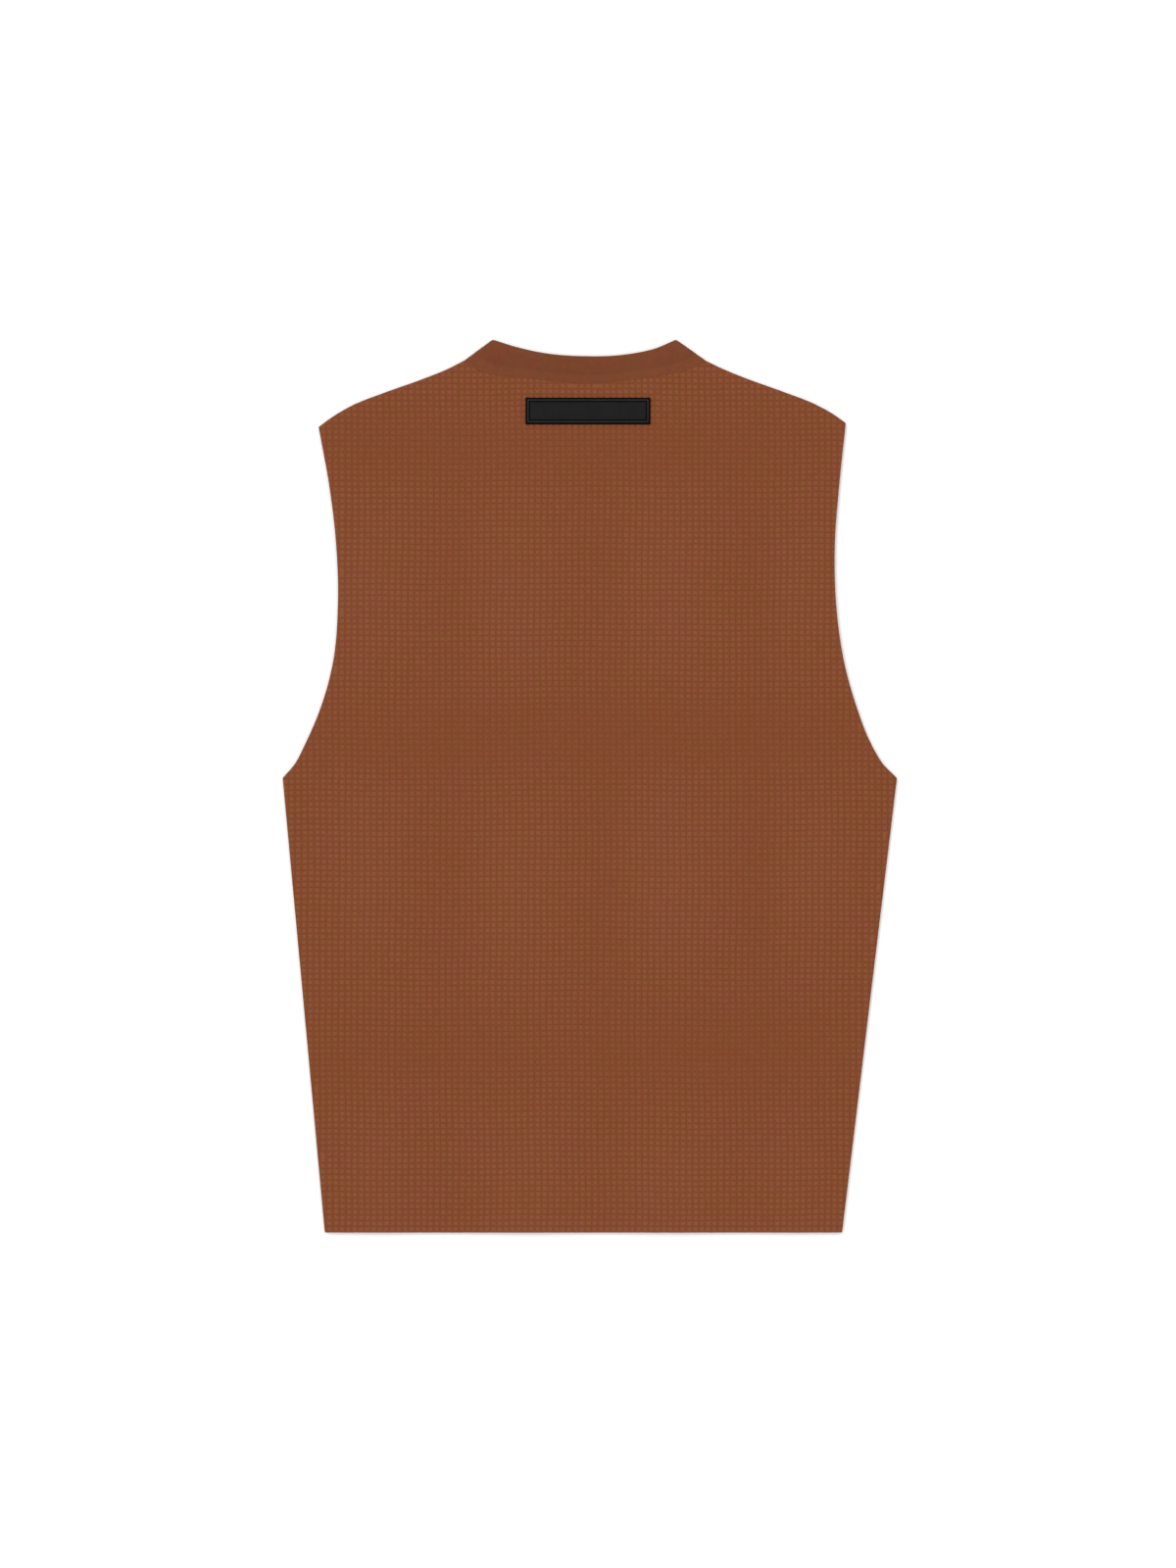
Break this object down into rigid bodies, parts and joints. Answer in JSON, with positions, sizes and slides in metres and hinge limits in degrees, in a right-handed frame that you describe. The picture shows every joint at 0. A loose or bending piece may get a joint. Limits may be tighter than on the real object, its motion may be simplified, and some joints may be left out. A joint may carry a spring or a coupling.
{
  "type": "waffle knit tank top",
  "caption": "Sleeveless crew neck top in waffle knit, laid flat with its back up, with a plain knit neckband and a blank patch below the back neck.",
  "frame": {"origin": "middle of the garment's footprint, on the surface it lies on", "axes": "+X across the garment towards its right shoulder seam as seen, +Y up it towards the neck, +Z up off the surface, out of the back panel"},
  "size_m": [0.5016, 0.7287, 0.0056],
  "materials": {
    "waffle_knit": "matte rust brown waffle knit",
    "band_knit": "matte smooth fine knit, a little darker than the body",
    "patch_rubber": "soft satin black"
  },
  "bodies": {
    "root": {"back_panel": "waffle_knit", "front_panel": "waffle_knit", "neckband": "band_knit", "label_patch": "patch_rubber"}
  },
  "joints": []
}
